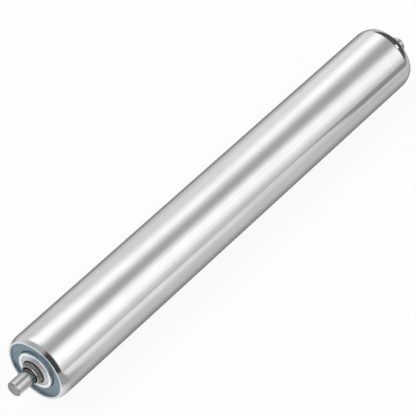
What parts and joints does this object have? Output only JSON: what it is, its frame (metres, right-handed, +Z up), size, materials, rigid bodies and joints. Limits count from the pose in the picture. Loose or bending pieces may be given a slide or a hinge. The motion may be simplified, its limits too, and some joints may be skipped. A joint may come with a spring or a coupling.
{
  "type": "conveyor roller",
  "caption": "Long gravity conveyor roller: a polished steel tube with spun-in ends turning on ball bearing units round a fixed plain shaft that stands out at both ends.",
  "frame": {"origin": "middle of the shaft, on the roller's axis; the tube's middle is 2.1 mm to the rear of it", "axes": "+Y along the roller's axis towards the rear end, +Z up, +X to the right seen from the front end; the front end is the near one in the picture"},
  "size_m": [0.0572, 0.484, 0.0572],
  "materials": {
    "tube_steel": "bright drawn and polished steel tube",
    "shaft_steel": "bright drawn round bar with turned tips",
    "zinc_sheet": "pressed sheet with blue-grey zinc plating",
    "cover_sheet": "pressed thin sheet with pale zinc plating",
    "race_steel": "turned and hardened steel",
    "bearing_steel": "ground and polished bearing steel",
    "spring_steel": "phosphated black spring steel"
  },
  "bodies": {
    "axle": {"shaft": "shaft_steel", "inner_race_front": "race_steel", "retaining_ring_front": "spring_steel", "inner_race_rear": "race_steel", "retaining_ring_rear": "spring_steel"},
    "roller": {"tube": "tube_steel", "housing_front": "zinc_sheet", "outer_race_front": "bearing_steel", "dust_cover_front": "cover_sheet", "housing_rear": "zinc_sheet", "outer_race_rear": "bearing_steel", "dust_cover_rear": "cover_sheet"},
    "balls_front": {"ball_front_01": "bearing_steel", "ball_front_02": "bearing_steel", "ball_front_03": "bearing_steel", "ball_front_04": "bearing_steel", "ball_front_05": "bearing_steel", "ball_front_06": "bearing_steel", "ball_front_07": "bearing_steel", "ball_front_08": "bearing_steel", "ball_front_09": "bearing_steel", "ball_front_10": "bearing_steel", "ball_front_11": "bearing_steel"},
    "balls_rear": {"ball_rear_01": "bearing_steel", "ball_rear_02": "bearing_steel", "ball_rear_03": "bearing_steel", "ball_rear_04": "bearing_steel", "ball_rear_05": "bearing_steel", "ball_rear_06": "bearing_steel", "ball_rear_07": "bearing_steel", "ball_rear_08": "bearing_steel", "ball_rear_09": "bearing_steel", "ball_rear_10": "bearing_steel", "ball_rear_11": "bearing_steel"}
  },
  "joints": [
    {"name": "roller_spin", "type": "hinge", "parent": "axle", "child": "roller", "pos_m": [0, 0, 0], "axis": [0, 1, 0], "continuous": true},
    {"name": "balls_front_orbit", "type": "hinge", "parent": "axle", "child": "balls_front", "pos_m": [0, -0.2079, 0], "axis": [0, 1, 0], "continuous": true},
    {"name": "balls_rear_orbit", "type": "hinge", "parent": "axle", "child": "balls_rear", "pos_m": [0, 0.2121, 0], "axis": [0, 1, 0], "continuous": true}
  ],
  "couplings": [
    {"joint": "balls_front_orbit", "follows": "roller_spin", "ratio": 0.63868},
    {"joint": "balls_rear_orbit", "follows": "roller_spin", "ratio": 0.63868}
  ]
}
